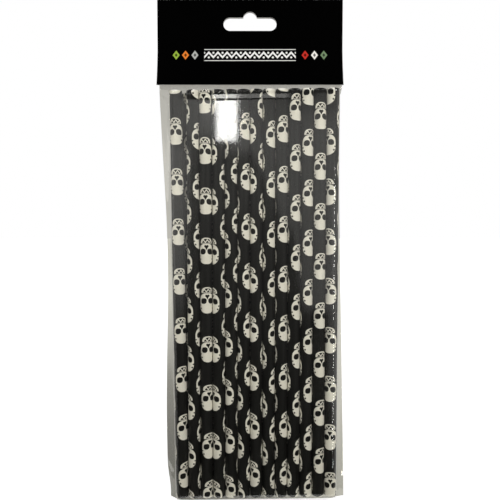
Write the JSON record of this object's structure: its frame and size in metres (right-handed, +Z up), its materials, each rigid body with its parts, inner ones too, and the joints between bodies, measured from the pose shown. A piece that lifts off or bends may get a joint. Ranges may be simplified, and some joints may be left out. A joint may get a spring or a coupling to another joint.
{
  "type": "pack of paper drinking straws",
  "caption": "Hanging retail pack: two nested rows of printed paper drinking straws in a clear film bag, closed by a folded header card with a hang slot.",
  "frame": {"origin": "crown of the round notch in the hang slot, midway between the two panels of the header card", "axes": "+Z up along the pack towards the card's fold, -Y out of the front of the pack, +X to the right seen from the front"},
  "size_m": [0.0913, 0.0118, 0.2457],
  "materials": {
    "header_card": "smooth coated card, printed black",
    "clear_film": "clear glossy film, slightly wrinkled",
    "adhesive": "double-sided tape",
    "printed_paper": "matt rolled paper, black with an off-white print"
  },
  "bodies": {
    "root": {"header_card": "header_card", "bag": "clear_film", "adhesive_strip_front": "adhesive", "adhesive_strip_back": "adhesive", "straw_01": "printed_paper", "straw_02": "printed_paper", "straw_03": "printed_paper", "straw_04": "printed_paper", "straw_05": "printed_paper", "straw_06": "printed_paper", "straw_07": "printed_paper", "straw_08": "printed_paper", "straw_09": "printed_paper", "straw_10": "printed_paper", "straw_11": "printed_paper", "straw_12": "printed_paper", "straw_13": "printed_paper", "straw_14": "printed_paper", "straw_15": "printed_paper", "straw_16": "printed_paper", "straw_17": "printed_paper", "straw_18": "printed_paper", "straw_19": "printed_paper", "straw_20": "printed_paper", "straw_21": "printed_paper", "straw_22": "printed_paper", "straw_23": "printed_paper", "straw_24": "printed_paper", "straw_25": "printed_paper"}
  },
  "joints": []
}
